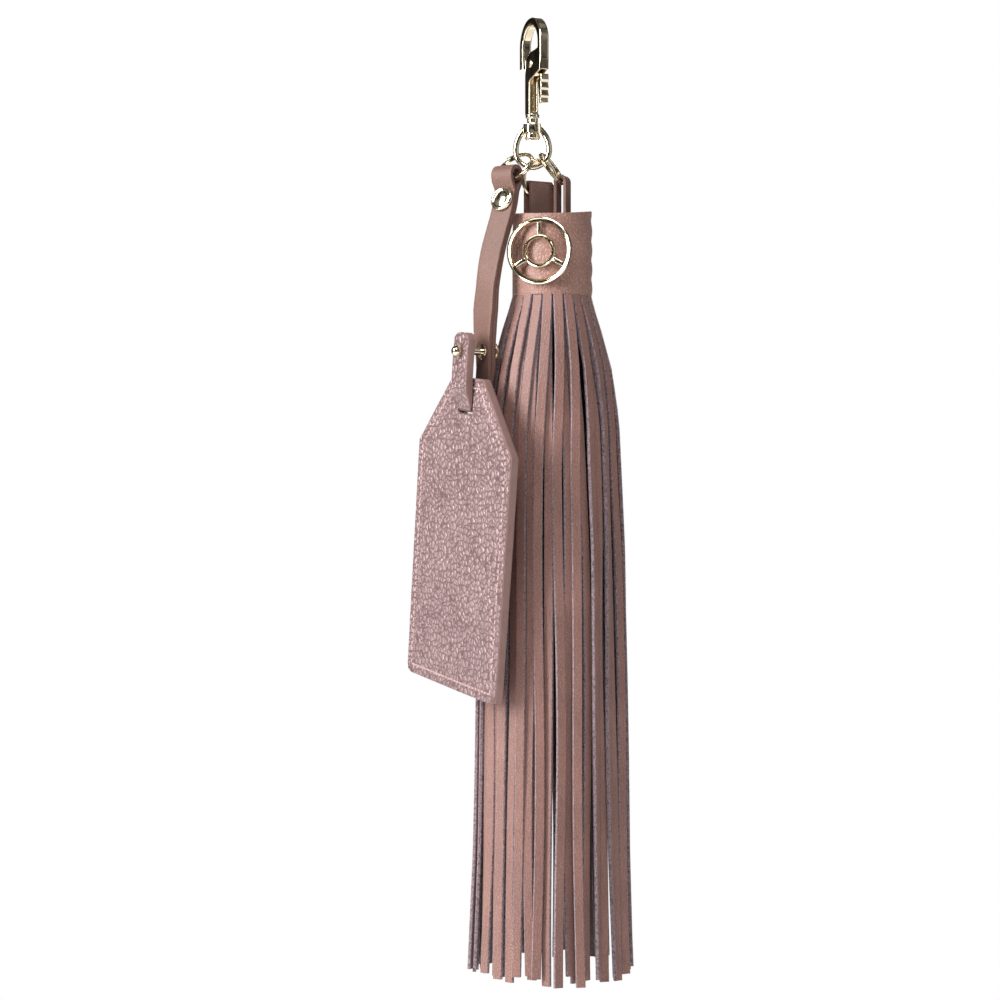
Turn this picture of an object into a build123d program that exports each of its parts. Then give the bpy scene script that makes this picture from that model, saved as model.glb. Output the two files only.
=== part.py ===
"""Leather tassel charm with a luggage tag, both hanging from a swivel trigger hook.

Millimetres, +Z up, modelled as it hangs. The origin is the point under the hook's arch that a bag's
ring hangs from. The front of the charm faces -Y, and +X is to the right of someone facing it.
Leather pieces are plain closed solids of the right size and place.
"""
import os
from math import cos, radians, sin

from build123d import *

os.makedirs("parts", exist_ok=True)

UP = Vector(0, 0, 1)


def level_dir(turn):
    """A level direction, turned from +X towards -Y by an angle in degrees."""
    return Vector(cos(radians(turn)), -sin(radians(turn)), 0)


def upright_plane(origin, turn):
    """A plane whose x axis is level_dir(turn) and whose y axis is up. Its normal faces the front."""
    x_dir = level_dir(turn)
    return Plane(origin=origin, x_dir=x_dir, z_dir=x_dir.cross(UP))


# ---------------------------------------------------------------- trigger hook
HOOK_TURN = 68.0        # the hook hangs nearly edge-on to the front
HOOK_THICK = 3.0
CLAW_RADIUS = 8.1       # outside of the arch
CLAW_BAND = 2.5         # width of the arch's metal
CLAW_U = 1.3            # the arch's centre, across
CLAW_Z = CLAW_BAND - CLAW_RADIUS
NOSE_END = -12.0
SPINE_END = -11.0
HUB_U = 1.6             # the lever's pivot, across
HUB_Z = -11.3
HUB_RADIUS = 3.4
STEM_RIGHT = 0.9
STEM_LEFT = -2.4
STEM_BACK = 1.2         # thickness of the wall behind the lever's channel
BASE_Z = -26.2
CHANNEL_WIDTH = 2.0
CHANNEL_END = -25.4
PIN_RADIUS = 0.8
EDGE_SOFTEN = 0.5

hook_plane = upright_plane((0, 0, 0), HOOK_TURN)

with BuildPart() as hook_body:
    with BuildSketch(hook_plane):
        with Locations((CLAW_U, CLAW_Z)):
            Circle(CLAW_RADIUS)
            Circle(CLAW_RADIUS - CLAW_BAND, mode=Mode.SUBTRACT)
            Rectangle(3 * CLAW_RADIUS, CLAW_RADIUS, align=(Align.CENTER, Align.MAX), mode=Mode.SUBTRACT)
        with Locations((CLAW_U - CLAW_RADIUS + CLAW_BAND / 2, CLAW_Z)):
            Rectangle(CLAW_BAND, CLAW_Z - NOSE_END, align=(Align.CENTER, Align.MAX))
        with Locations((CLAW_U + CLAW_RADIUS - CLAW_BAND / 2, CLAW_Z)):
            Rectangle(CLAW_BAND, CLAW_Z - SPINE_END, align=(Align.CENTER, Align.MAX))
        with Locations((HUB_U, HUB_Z)):
            Circle(HUB_RADIUS)
        Polygon(
            (CLAW_U + CLAW_RADIUS, -10.5),
            (8.8, -14.2),
            (STEM_RIGHT, -16.5),
            (STEM_RIGHT, BASE_Z),
            (STEM_LEFT, BASE_Z),
            (STEM_LEFT, -14.5),
            (-1.8, HUB_Z),
            (HUB_U, HUB_Z + HUB_RADIUS),
            (6.9, -7.4),
            align=None,
        )
    extrude(amount=HOOK_THICK / 2, both=True)
    rims = hook_body.faces().filter_by(hook_plane).edges()
    fillet(rims.filter_by(GeomType.CIRCLE).filter_by(lambda e: e.radius > 4), EDGE_SOFTEN)
    # the channel that the lever turns in is open above the pivot, and open to the right below it
    with BuildSketch(hook_plane):
        Polygon((-3.0, -14.2), (5.0, -14.2), (5.0, -6.0), (-3.0, -6.0), align=None)
        Polygon(
            (STEM_LEFT + STEM_BACK, CHANNEL_END),
            (12.0, CHANNEL_END),
            (12.0, -14.1),
            (STEM_LEFT + STEM_BACK, -14.1),
            align=None,
        )
    extrude(amount=CHANNEL_WIDTH / 2, both=True, mode=Mode.SUBTRACT)
    with BuildSketch(hook_plane):
        with Locations((HUB_U, HUB_Z)):
            Circle(PIN_RADIUS)
    extrude(amount=HOOK_THICK, both=True, mode=Mode.SUBTRACT)

# the hook's base: a flange and a collar, drilled for the swivel's rivet
FLANGE_RADIUS = 2.1
COLLAR_RADIUS = 1.65
COLLAR_TOP = -27.4
COLLAR_END = -28.95
RIVET_RADIUS = 1.1
RIVET_TOP = -26.6

with hook_body:
    with BuildSketch(Plane.XY.offset(COLLAR_TOP)):
        Circle(FLANGE_RADIUS)
    extrude(amount=BASE_Z - COLLAR_TOP)
    with BuildSketch(Plane.XY.offset(COLLAR_END)):
        Circle(COLLAR_RADIUS)
    extrude(amount=COLLAR_TOP - COLLAR_END)
    with BuildSketch(Plane.XY.offset(COLLAR_END)):
        Circle(RIVET_RADIUS)
    extrude(amount=RIVET_TOP - COLLAR_END, mode=Mode.SUBTRACT)

hook_body.part.label = "hook_body"
export_step(hook_body.part, "parts/hook_body.step")

# ---------------------------------------------------------------- thumb lever, its pin and spring
LEVER_OFFSET = -0.3     # the lever's web lies to one side of the channel, beside its spring
LEVER_WEB = 1.2
LEVER_WIDE = 2.6        # the finger's tip and the thumb rib are as wide as the hook
LEVER_HUB_RADIUS = 3.0
FINGER_TIP = -4.15
PIVOT_CLEARANCE = 0.05

web_plane = hook_plane.offset(LEVER_OFFSET)

with BuildPart() as thumb_lever:
    with BuildSketch(web_plane):
        with Locations((HUB_U, HUB_Z)):
            Circle(LEVER_HUB_RADIUS)
        Polygon(
            (FINGER_TIP, -12.2),
            (HUB_U, -13.6),
            (HUB_U, -9.2),
            (FINGER_TIP, -9.9),
            align=None,
        )
        Polygon(
            (HUB_U - 1.5, -13.8),
            (4.0, -13.1),
            (4.9, -14.5),
            (8.6, -15.4),
            (8.6, -24.2),
            (6.0, -24.0),
            (4.6, -17.5),
            align=None,
        )
    extrude(amount=LEVER_WEB / 2, both=True)
    with BuildSketch(hook_plane):
        Polygon(
            (FINGER_TIP, -12.2),
            (-2.4, -12.6),
            (-2.4, -9.7),
            (FINGER_TIP, -9.9),
            align=None,
        )
    extrude(amount=LEVER_WIDE / 2, both=True)
    # thumb rib: its outer edge steps in and out for grip
    with BuildSketch(hook_plane):
        Polygon(
            (8.0, -15.4),
            (9.2, -15.4),
            (9.7, -17.2),
            (9.0, -17.9),
            (9.6, -19.6),
            (9.0, -20.3),
            (9.6, -22.0),
            (9.0, -22.6),
            (9.2, -24.0),
            (8.0, -24.2),
            align=None,
        )
    extrude(amount=LEVER_WIDE / 2, both=True)
    with BuildSketch(hook_plane):
        with Locations((HUB_U, HUB_Z)):
            Circle(PIN_RADIUS + PIVOT_CLEARANCE)
    extrude(amount=HOOK_THICK, both=True, mode=Mode.SUBTRACT)
thumb_lever.part.label = "thumb_lever"
export_step(thumb_lever.part, "parts/thumb_lever.step")

PIN_HEAD_RADIUS = 1.3
PIN_HEAD = 0.35

with BuildPart() as lever_pin:
    with BuildSketch(hook_plane):
        with Locations((HUB_U, HUB_Z)):
            Circle(PIN_RADIUS)
    extrude(amount=HOOK_THICK / 2 + PIN_HEAD / 2, both=True)
    for side in (-1, 1):
        with BuildSketch(hook_plane.offset(side * HOOK_THICK / 2)):
            with Locations((HUB_U, HUB_Z)):
                Circle(PIN_HEAD_RADIUS)
        extrude(amount=side * PIN_HEAD, taper=30)
lever_pin.part.label = "lever_pin"
export_step(lever_pin.part, "parts/lever_pin.step")

SPRING_RADIUS = 1.45
SPRING_WIRE = 0.25
SPRING_OFFSET = 0.66

spring_centre = hook_plane.offset(SPRING_OFFSET).from_local_coords((HUB_U, HUB_Z, 0))
with BuildPart(Plane(origin=spring_centre, x_dir=hook_plane.x_dir, z_dir=hook_plane.z_dir)) as lever_spring:
    Torus(SPRING_RADIUS, SPRING_WIRE)
lever_spring.part.label = "lever_spring"
export_step(lever_spring.part, "parts/lever_spring.step")

# ---------------------------------------------------------------- swivel
RIVET_HEAD_RADIUS = 2.3
RIVET_HEAD = 2.0
BOSS_TOP = -29.05
BOSS_HEIGHT = 2.95
BOSS_LENGTH = 5.8
BOSS_DEPTH = 5.0
SWIVEL_GAP = 0.08
EYE_TURN = 11.0
EYE_RADIUS = 5.1        # to the middle of the wire, as are the rings' radii below
EYE_WIRE = 0.85         # half the wire's diameter
EYE_Z = -37.0

rivet_head_top = BOSS_TOP - BOSS_HEIGHT - SWIVEL_GAP
with BuildPart() as swivel_rivet:
    with BuildSketch(Plane.XY.offset(RIVET_TOP)):
        Circle(RIVET_RADIUS)
    extrude(amount=rivet_head_top - RIVET_TOP)
    with BuildSketch(Plane.XY.offset(rivet_head_top)):
        Circle(RIVET_HEAD_RADIUS)
    extrude(amount=-RIVET_HEAD)
    chamfer(swivel_rivet.edges().sort_by(Axis.Z)[0], 0.6)
swivel_rivet.part.label = "swivel_rivet"
export_step(swivel_rivet.part, "parts/swivel_rivet.step")

eye_plane = upright_plane((0, 0, 0), EYE_TURN)
with BuildPart() as swivel_eye:
    with BuildLine(eye_plane) as eye_path:
        CenterArc((0, EYE_Z), EYE_RADIUS, 180, 180)
        TangentArc((EYE_RADIUS, EYE_Z), (2.2, BOSS_TOP - BOSS_HEIGHT / 2), tangent=(0, 1))
        TangentArc((-EYE_RADIUS, EYE_Z), (-2.2, BOSS_TOP - BOSS_HEIGHT / 2), tangent=(0, 1))
    with BuildSketch(Plane(origin=eye_path.line @ 0, z_dir=eye_path.line % 0)):
        Circle(EYE_WIRE)
    sweep(path=eye_path.line)
    with BuildSketch(Plane(origin=(0, 0, BOSS_TOP), x_dir=level_dir(EYE_TURN), z_dir=(0, 0, 1))):
        RectangleRounded(BOSS_LENGTH, BOSS_DEPTH, 1.2)
    extrude(amount=-BOSS_HEIGHT)
    with BuildSketch(Plane.XY.offset(BOSS_TOP)):
        Circle(RIVET_RADIUS + PIVOT_CLEARANCE)
    extrude(amount=-BOSS_HEIGHT - 1, mode=Mode.SUBTRACT)
swivel_eye.part.label = "swivel_eye"
export_step(swivel_eye.part, "parts/swivel_eye.step")

# ---------------------------------------------------------------- the three rings on the swivel's eye
RING_RADIUS = 5.6
RING_WIRE = 0.6
TAG_RING_AT = (-5.16, -1.38, -42.14)
TAG_RING_NORMAL = (-0.417, -0.579, 0.701)
TASSEL_RING_AT = (2.18, 0.40, -45.60)
TASSEL_RING_TURN = -28.9
BACK_RING_AT = (6.02, 1.26, -42.39)
BACK_RING_NORMAL = (-0.778, 0.293, -0.555)

with BuildPart(Plane(origin=TAG_RING_AT, z_dir=TAG_RING_NORMAL)) as tag_ring:
    Torus(RING_RADIUS, RING_WIRE)
tag_ring.part.label = "tag_ring"
export_step(tag_ring.part, "parts/tag_ring.step")

with BuildPart(upright_plane(TASSEL_RING_AT, TASSEL_RING_TURN)) as tassel_ring:
    Torus(RING_RADIUS, RING_WIRE)
tassel_ring.part.label = "tassel_ring"
export_step(tassel_ring.part, "parts/tassel_ring.step")

with BuildPart(Plane(origin=BACK_RING_AT, z_dir=BACK_RING_NORMAL)) as back_ring:
    Torus(RING_RADIUS, RING_WIRE)
back_ring.part.label = "back_ring"
export_step(back_ring.part, "parts/back_ring.step")

# ---------------------------------------------------------------- the tag's own plane
TAG_TURN = 60.0
TAG_LEAN = 7.0          # in its own plane, the tag's foot swings out to the left
TAG_PEAK = Vector(-18.1, -8.9, -105.7)

tag_normal = upright_plane((0, 0, 0), TAG_TURN).z_dir
tag_across = level_dir(TAG_TURN) * cos(radians(TAG_LEAN)) - UP * sin(radians(TAG_LEAN))
tag_up = tag_normal.cross(tag_across)
tag_plane = Plane(origin=TAG_PEAK, x_dir=tag_across, z_dir=tag_normal)
# the same point seen from the tag's edge: x is the tag's normal and y runs up the tag
tag_side_plane = Plane(origin=TAG_PEAK, x_dir=tag_normal, z_dir=tag_normal.cross(tag_up))


def at_tag(across, up, out):
    """A point given in the tag's plane: across, up from its peak, and out of its face."""
    return tag_plane.from_local_coords(Vector(across, up, out))


# ---------------------------------------------------------------- luggage tag
TAG_WIDTH = 56.0
TAG_LENGTH = 93.0
TAG_PEAK_WIDTH = 18.0
TAG_SHOULDER = 21.0     # below the peak
TAG_THICK = 2.8
TAG_PANEL = 1.15
TAG_CORNER = 3.0
SLOT_DOWN = 9.0
SLOT_WIDTH = 8.8
SLOT_HEIGHT = 3.2
STIFFENER_INSET = 5.0


def tag_outline(inset=0.0):
    """The tag's outline with its slot, in the current sketch."""
    half = TAG_WIDTH / 2 - inset
    half_peak = TAG_PEAK_WIDTH / 2 - inset * 0.6
    Polygon(
        (-half_peak, -inset),
        (half_peak, -inset),
        (half, -TAG_SHOULDER - inset * 0.4),
        (half, -TAG_LENGTH + inset),
        (-half, -TAG_LENGTH + inset),
        (-half, -TAG_SHOULDER - inset * 0.4),
        align=None,
    )
    with Locations((0, -SLOT_DOWN)):
        RectangleRounded(SLOT_WIDTH + 2 * inset, SLOT_HEIGHT + 2 * inset, 1.2, mode=Mode.SUBTRACT)


with BuildPart() as tag_front:
    with BuildSketch(tag_plane.offset(TAG_THICK / 2 - TAG_PANEL)):
        tag_outline()
    extrude(amount=TAG_PANEL)
    feet = tag_front.edges().filter_by(lambda e: abs(e.length - TAG_PANEL) < 0.01)
    fillet(feet.sort_by(Axis.Z)[:2], TAG_CORNER)
tag_front.part.label = "tag_front"
export_step(tag_front.part, "parts/tag_front.step")

with BuildPart() as tag_back:
    with BuildSketch(tag_plane.offset(-TAG_THICK / 2)):
        tag_outline()
    extrude(amount=TAG_PANEL)
    feet = tag_back.edges().filter_by(lambda e: abs(e.length - TAG_PANEL) < 0.01)
    fillet(feet.sort_by(Axis.Z)[:2], TAG_CORNER)
tag_back.part.label = "tag_back"
export_step(tag_back.part, "parts/tag_back.step")

with BuildPart() as tag_stiffener:
    with BuildSketch(tag_plane.offset(TAG_PANEL - TAG_THICK / 2)):
        tag_outline(STIFFENER_INSET / 2)
    extrude(amount=TAG_THICK - 2 * TAG_PANEL)
tag_stiffener.part.label = "tag_stiffener"
export_step(tag_stiffener.part, "parts/tag_stiffener.step")

# ---------------------------------------------------------------- the tag's strap
LEATHER = 1.25
STRAP_WIDTH = 7.4
STRAP_THICK = 2.7       # two layers, riveted and glued back to back
STRAP_TOP = Vector(-7.6, -3.8, -45.2)    # centre of the loop round the tag ring
STRAP_TOP_TURN = 36.0
STRAP_LOOP = 2.0        # inside radius of that loop
LOOP_END = -49.5        # where the loop's two legs have come together
# middle of the strap on its way down: x, y, z and the turn of its face
STRAP_WAY = (
    (-8.7, -5.4, -56.0, 35.0),
    (-11.9, -4.9, -68.0, 36.0),
    (-13.6, -5.6, -80.0, 45.0),
    (-14.2, -6.5, -92.0, 56.0),
)
STRAP_OUT = -4.6        # the strap passes behind the tag, this far from its middle
TAB_OUT = 2.4           # and its end comes up in front as a tab
TAB_TOP = 13.5
BEND_UP = -6.75         # centre of the bend through the slot
BEND_BACK = -3.2

strap_side = Plane(
    origin=STRAP_TOP,
    x_dir=upright_plane((0, 0, 0), STRAP_TOP_TURN).z_dir,
    z_dir=-level_dir(STRAP_TOP_TURN),
)
bend_centre = (TAB_OUT + BEND_BACK) / 2
bend_radius = (TAB_OUT - BEND_BACK) / 2
loop_drop = STRAP_TOP.Z - LOOP_END

with BuildPart() as tag_strap:
    with BuildSketch(strap_side):
        Circle(STRAP_LOOP + LEATHER)
        Polygon(
            (-STRAP_LOOP - LEATHER, 0),
            (STRAP_LOOP + LEATHER, 0),
            (STRAP_THICK / 2, -loop_drop),
            (-STRAP_THICK / 2, -loop_drop),
            align=None,
        )
        Circle(STRAP_LOOP, mode=Mode.SUBTRACT)
    extrude(amount=STRAP_WIDTH / 2, both=True)
    # the doubled strap turns from the loop's face to the tag's face
    top_plane = Plane(
        origin=(STRAP_TOP.X, STRAP_TOP.Y, LOOP_END), x_dir=level_dir(STRAP_TOP_TURN), z_dir=(0, 0, -1)
    )
    with BuildSketch(top_plane):
        Rectangle(STRAP_WIDTH, STRAP_THICK)
    for x, y, z, turn in STRAP_WAY:
        with BuildSketch(Plane(origin=(x, y, z), x_dir=level_dir(turn), z_dir=(0, 0, -1))):
            Rectangle(STRAP_WIDTH, STRAP_THICK)
    with BuildSketch(Plane(origin=at_tag(0, 3, STRAP_OUT), x_dir=tag_across, z_dir=-tag_up)):
        Rectangle(STRAP_WIDTH, STRAP_THICK)
    loft(ruled=True)
    # behind the tag one layer stops; the other bends through the slot and comes up in front
    with BuildSketch(tag_side_plane):
        Polygon(
            (STRAP_OUT - STRAP_THICK / 2, 3),
            (STRAP_OUT + STRAP_THICK / 2, 3),
            (BEND_BACK + LEATHER / 2, BEND_UP),
            (BEND_BACK - LEATHER / 2, BEND_UP),
            (STRAP_OUT - STRAP_THICK / 2, -3.5),
            align=None,
        )
        with BuildLine():
            CenterArc((bend_centre, BEND_UP), bend_radius + LEATHER / 2, 180, 180)
            Line((TAB_OUT + LEATHER / 2, BEND_UP), (TAB_OUT + LEATHER / 2, TAB_TOP))
            Line((TAB_OUT + LEATHER / 2, TAB_TOP), (TAB_OUT - LEATHER / 2, TAB_TOP))
            Line((TAB_OUT - LEATHER / 2, TAB_TOP), (TAB_OUT - LEATHER / 2, BEND_UP))
            CenterArc((bend_centre, BEND_UP), bend_radius - LEATHER / 2, 0, -180)
            Line((BEND_BACK + LEATHER / 2, BEND_UP), (BEND_BACK - LEATHER / 2, BEND_UP))
        make_face()
    extrude(amount=STRAP_WIDTH / 2, both=True)

# ---------------------------------------------------------------- strap rivet and ball stud
RIVET_TURN = 35.5
SHANK_RADIUS = 1.1
CAP_RADIUS = 3.75
CAP_HEIGHT = 1.3
BACK_CAP_RADIUS = 2.9
BACK_CAP_HEIGHT = 0.9
STUD_UP = 7.9           # above the tag's peak
STUD_BALL = 1.6
STUD_BASE_RADIUS = 2.3
STUD_BASE = 0.8

# the rivet sits half way down the strap's first stretch, square to its face
stretch_top = Vector(STRAP_TOP.X, STRAP_TOP.Y, LOOP_END)
stretch_end = Vector(*STRAP_WAY[0][:3])
rivet_at = (stretch_top + stretch_end) / 2
rivet_plane = Plane(
    origin=rivet_at,
    x_dir=level_dir(RIVET_TURN),
    z_dir=level_dir(RIVET_TURN).cross((stretch_top - stretch_end).normalized()),
)
strap_face = STRAP_THICK / 2 + 0.05
stud_plane = Plane(origin=at_tag(0.3, STUD_UP, STRAP_OUT), x_dir=tag_across, z_dir=tag_normal)
stud_reach = TAB_OUT - STRAP_OUT + LEATHER / 2

with BuildPart() as rivet_cap:
    with BuildSketch(rivet_plane.offset(strap_face)):
        Circle(CAP_RADIUS)
    extrude(amount=CAP_HEIGHT)
    fillet(rivet_cap.faces().sort_by(Axis(rivet_at, rivet_plane.z_dir))[-1].edges(), 0.7)
    with BuildSketch(rivet_plane.offset(strap_face)):
        Circle(SHANK_RADIUS)
    extrude(amount=-2 * strap_face)
rivet_cap.part.label = "rivet_cap"
export_step(rivet_cap.part, "parts/rivet_cap.step")

with BuildPart() as rivet_back_cap:
    with BuildSketch(rivet_plane.offset(-strap_face)):
        Circle(BACK_CAP_RADIUS)
    extrude(amount=-BACK_CAP_HEIGHT)
    fillet(rivet_back_cap.faces().sort_by(Axis(rivet_at, rivet_plane.z_dir))[0].edges(), 0.4)
rivet_back_cap.part.label = "rivet_back_cap"
export_step(rivet_back_cap.part, "parts/rivet_back_cap.step")

# half of the stud's outline, turned about its axis: x along the axis, y away from it
ball_centre = stud_reach + STUD_BALL
ball_start = ball_centre - (STUD_BALL**2 - SHANK_RADIUS**2) ** 0.5
stud_profile = Plane(origin=stud_plane.origin, x_dir=tag_normal, z_dir=tag_normal.cross(tag_up))

with BuildPart() as ball_stud:
    with BuildSketch(stud_profile):
        with BuildLine():
            Polyline(
                (ball_centre + STUD_BALL, 0),
                (0, 0),
                (0, SHANK_RADIUS),
                (strap_face, SHANK_RADIUS),
                (strap_face, STUD_BASE_RADIUS),
                (strap_face + STUD_BASE, STUD_BASE_RADIUS),
                (strap_face + STUD_BASE, SHANK_RADIUS),
                (ball_start, SHANK_RADIUS),
            )
            ThreePointArc(
                (ball_start, SHANK_RADIUS), (ball_centre, STUD_BALL), (ball_centre + STUD_BALL, 0)
            )
        make_face()
    revolve(axis=Axis(stud_plane.origin, tag_normal))
ball_stud.part.label = "ball_stud"
export_step(ball_stud.part, "parts/ball_stud.step")

with BuildPart() as stud_screw:
    with BuildSketch(stud_plane):
        Circle(SHANK_RADIUS)
    extrude(amount=-strap_face)
    with BuildSketch(stud_plane.offset(-strap_face)):
        Circle(BACK_CAP_RADIUS)
    extrude(amount=-BACK_CAP_HEIGHT)
stud_screw.part.label = "stud_screw"
export_step(stud_screw.part, "parts/stud_screw.step")

with tag_strap:
    with BuildSketch(rivet_plane):
        Circle(SHANK_RADIUS)
    extrude(amount=2 * STRAP_THICK, both=True, mode=Mode.SUBTRACT)
    # the seats that the twisting leather is pressed flat in, under the caps
    with BuildSketch(rivet_plane.offset(strap_face)):
        Circle(CAP_RADIUS + 0.05)
    extrude(amount=CAP_HEIGHT, mode=Mode.SUBTRACT)
    with BuildSketch(rivet_plane.offset(-strap_face)):
        Circle(BACK_CAP_RADIUS + 0.05)
    extrude(amount=-CAP_HEIGHT, mode=Mode.SUBTRACT)
    with BuildSketch(stud_plane.offset(strap_face)):
        Circle(STUD_BASE_RADIUS + 0.05)
    extrude(amount=STUD_BASE, mode=Mode.SUBTRACT)
    with BuildSketch(stud_plane.offset(-strap_face)):
        Circle(BACK_CAP_RADIUS + 0.05)
    extrude(amount=-CAP_HEIGHT, mode=Mode.SUBTRACT)
    with BuildSketch(stud_plane):
        Circle(SHANK_RADIUS)
    extrude(amount=2 * STRAP_THICK + STUD_BALL, both=True, mode=Mode.SUBTRACT)
    add(ball_stud.part, mode=Mode.SUBTRACT)
tag_strap.part.label = "tag_strap"
export_step(tag_strap.part, "parts/tag_strap.step")

# ---------------------------------------------------------------- tassel: loops, core and cap
TASSEL_X = 5.85
TASSEL_Y = 1.5
CAP_TOP = -55.4
CAP_END = -80.9
CAP_OUTSIDE = 12.0
CAP_LEATHER = 1.5
CORE_TOP = CAP_TOP - 0.8
LOOP_ROOT = -70.0       # both loops' legs end here, inside the core
FRONT_LOOP_SHIFT = -0.3     # across, from the middle of the tassel's ring
FRONT_LOOP_FOLD = -48.5     # height of the fold's centre
BACK_LOOP_AT = (8.93, 0.16)
BACK_LOOP_FOLD = -46.45
BACK_LOOP_TURN = 110.6


def folded_loop(x, y, fold_z, turn, width, gap, leather):
    """A strip of leather folded over a ring, with both legs straight down. gap is half the space between them."""
    across = level_dir(turn)
    side_plane = Plane(origin=(x, y, fold_z), x_dir=across.cross(UP), z_dir=-across)
    leg = fold_z - LOOP_ROOT
    with BuildPart() as loop:
        with BuildSketch(side_plane):
            Circle(gap + leather)
            Rectangle(2 * (gap + leather), leg, align=(Align.CENTER, Align.MAX))
            Circle(gap, mode=Mode.SUBTRACT)
            Rectangle(2 * gap, leg, align=(Align.CENTER, Align.MAX), mode=Mode.SUBTRACT)
        extrude(amount=width / 2, both=True)
    return loop.part


loop_centre = Vector(*TASSEL_RING_AT) + level_dir(TASSEL_RING_TURN) * FRONT_LOOP_SHIFT
front_loop = folded_loop(
    loop_centre.X, loop_centre.Y, FRONT_LOOP_FOLD, TASSEL_RING_TURN, width=8.0, gap=1.0, leather=1.3
)
front_loop.label = "front_loop"
export_step(front_loop, "parts/front_loop.step")

back_loop = folded_loop(*BACK_LOOP_AT, BACK_LOOP_FOLD, BACK_LOOP_TURN, width=4.6, gap=1.0, leather=1.0)
back_loop.label = "back_loop"
export_step(back_loop, "parts/back_loop.step")

ORNAMENT_RADIUS = 10.0
ORNAMENT_BAND = 1.6
ORNAMENT_THICK = 1.6
ORNAMENT_TURN = -18.0   # round the cap from the front, to the left
ORNAMENT_Z = -68.2
INNER_RING_RADIUS = 5.0
INNER_RING_BAND = 1.3
SPOKES = 3
PRONG_SPACING = 6.0
PRONG_SIZE = 1.0
PLATE_WIDTH = 9.0
PLATE_HEIGHT = 4.0
PLATE_THICK = 0.5
PLATE_DEPTH = 2.65      # from the cap's outside, so that the plate's ends clear the cap's inside

ornament_out = Vector(sin(radians(ORNAMENT_TURN)), -cos(radians(ORNAMENT_TURN)), 0)
tassel_axis = Vector(TASSEL_X, TASSEL_Y, ORNAMENT_Z)
ornament_plane = Plane(
    origin=tassel_axis + ornament_out * CAP_OUTSIDE, x_dir=UP.cross(ornament_out), z_dir=ornament_out
)
core_radius = CAP_OUTSIDE - CAP_LEATHER - 0.05
prong_depth = PLATE_DEPTH + PLATE_THICK

with BuildPart() as ornament:
    with BuildSketch(ornament_plane.offset(0.02)):
        Circle(ORNAMENT_RADIUS)
        Circle(ORNAMENT_RADIUS - ORNAMENT_BAND, mode=Mode.SUBTRACT)
        Circle(INNER_RING_RADIUS)
        Circle(INNER_RING_RADIUS - INNER_RING_BAND, mode=Mode.SUBTRACT)
        with PolarLocations((INNER_RING_RADIUS + ORNAMENT_RADIUS - ORNAMENT_BAND) / 2, SPOKES, 90):
            Rectangle(ORNAMENT_RADIUS - ORNAMENT_BAND - INNER_RING_RADIUS + 1, 1.4)
    extrude(amount=ORNAMENT_THICK)
    with BuildSketch(ornament_plane.offset(0.5)):
        with Locations((-PRONG_SPACING / 2, 0), (PRONG_SPACING / 2, 0)):
            Rectangle(PRONG_SIZE, PRONG_SIZE)
    extrude(amount=-prong_depth - 0.5)
ornament.part.label = "ornament"
export_step(ornament.part, "parts/ornament.step")

with BuildPart() as cap_wrap:
    with BuildSketch(Plane.XY.offset(CAP_END)):
        with Locations((TASSEL_X, TASSEL_Y)):
            Circle(CAP_OUTSIDE)
            Circle(CAP_OUTSIDE - CAP_LEATHER, mode=Mode.SUBTRACT)
    extrude(amount=CAP_TOP - CAP_END)
    add(ornament.part, mode=Mode.SUBTRACT)
cap_wrap.part.label = "cap_wrap"
export_step(cap_wrap.part, "parts/cap_wrap.step")

with BuildPart() as ornament_plate:
    with BuildSketch(ornament_plane.offset(-PLATE_DEPTH)):
        Rectangle(PLATE_WIDTH, PLATE_HEIGHT)
        with Locations((-PRONG_SPACING / 2, 0), (PRONG_SPACING / 2, 0)):
            Rectangle(PRONG_SIZE, PRONG_SIZE, mode=Mode.SUBTRACT)
    extrude(amount=-PLATE_THICK)
ornament_plate.part.label = "ornament_plate"
export_step(ornament_plate.part, "parts/ornament_plate.step")

with BuildPart() as core_roll:
    with BuildSketch(Plane.XY.offset(CAP_END)):
        with Locations((TASSEL_X, TASSEL_Y)):
            Circle(core_radius)
    extrude(amount=CORE_TOP - CAP_END)
    add(front_loop, mode=Mode.SUBTRACT)
    add(back_loop, mode=Mode.SUBTRACT)
    # a flat pocket for the ornament's plate and prongs
    with BuildSketch(ornament_plane.offset(-PLATE_DEPTH - PLATE_THICK - 0.1)):
        Rectangle(PLATE_WIDTH + 0.2, PLATE_HEIGHT + 0.2)
    extrude(amount=PLATE_DEPTH, mode=Mode.SUBTRACT)
core_roll.part.label = "core_roll"
export_step(core_roll.part, "parts/core_roll.step")

# ---------------------------------------------------------------- fringe
FRINGE_TOP = CAP_END - 0.3
FRINGE_END = -283.6
BUNDLES = 6
BUNDLE_GAP = 3.0        # degrees left open between two bundles
FRINGE_DEPTH = 2.6      # two layers of strips
# outside radius of the fringe at each height
FRINGE_SHAPE = (
    (11.9, FRINGE_TOP),
    (15.0, -91.0),
    (18.2, -103.0),
    (20.3, -118.0),
    (22.0, -157.0),
    (22.8, -202.0),
    (23.6, -247.0),
    (24.9, FRINGE_END),
)


def fringe_bundle(number):
    """One sector of the hanging strips, as a closed solid turned about the tassel's axis."""
    sweep_angle = 360 / BUNDLES - BUNDLE_GAP
    start = number * 360 / BUNDLES - sweep_angle / 2
    inside = [(radius - FRINGE_DEPTH, z) for radius, z in reversed(FRINGE_SHAPE)]
    x_dir = level_dir(-start)
    with BuildPart() as bundle:
        with BuildSketch(Plane(origin=(TASSEL_X, TASSEL_Y, 0), x_dir=x_dir, z_dir=x_dir.cross(UP))):
            Polygon(*FRINGE_SHAPE, *inside, align=None)
        revolve(axis=Axis((TASSEL_X, TASSEL_Y, 0), (0, 0, 1)), revolution_arc=sweep_angle)
    return bundle.part


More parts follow.
